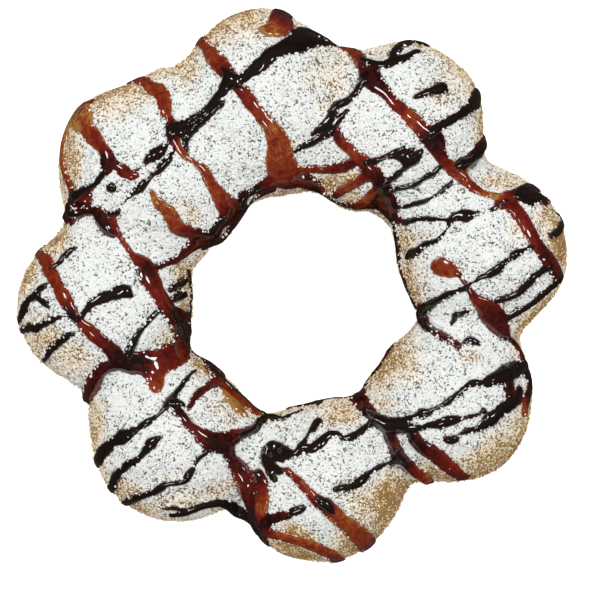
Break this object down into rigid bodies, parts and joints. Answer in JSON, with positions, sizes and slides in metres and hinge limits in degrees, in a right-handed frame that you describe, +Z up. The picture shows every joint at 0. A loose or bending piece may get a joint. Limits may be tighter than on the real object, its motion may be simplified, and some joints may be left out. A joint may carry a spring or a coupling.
{
  "type": "mochi doughnut",
  "caption": "Ring doughnut of joined round balls of dough, dusted with sugar and drizzled with dark and red sauce.",
  "frame": {"origin": "middle of the box round the doughnut, on the surface that it rests on", "axes": "+Z up through the hole; +X to the right and +Y away from the viewer, seen from above"},
  "size_m": [0.0948, 0.0952, 0.0266],
  "materials": {
    "dough": "fried golden-brown crust",
    "sugar": "packed white sugar",
    "chocolate_sauce": "thick glossy dark sauce",
    "fruit_sauce": "glossy red-brown sauce"
  },
  "bodies": {
    "root": {"doughnut": "dough"}
  },
  "joints": []
}
